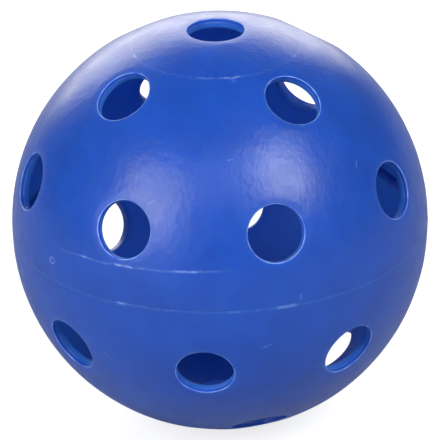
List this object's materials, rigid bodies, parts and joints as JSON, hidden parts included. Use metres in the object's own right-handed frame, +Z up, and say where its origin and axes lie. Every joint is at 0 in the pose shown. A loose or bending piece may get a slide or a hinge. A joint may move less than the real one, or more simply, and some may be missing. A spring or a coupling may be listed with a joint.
{
  "type": "perforated play ball",
  "caption": "Hollow light play ball with round holes through its wall, made of two moulded half shells welded together round the equator.",
  "frame": {"origin": "centre of the ball, midway between the two halves", "axes": "+Z up through the two polar holes; +X and +Y are the lines about which the ball can be turned over onto itself, midway between the two halves' hole patterns"},
  "size_m": [0.0722, 0.0722, 0.0718],
  "materials": {
    "shell_blue": "satin royal-blue polyethylene, faint moulding texture and light scuffs",
    "weld_blue": "same plastic, paler where the weld flash was trimmed"
  },
  "bodies": {
    "root": {"upper_half_shell": "shell_blue", "lower_half_shell": "shell_blue", "weld_seam": "weld_blue"}
  },
  "joints": []
}
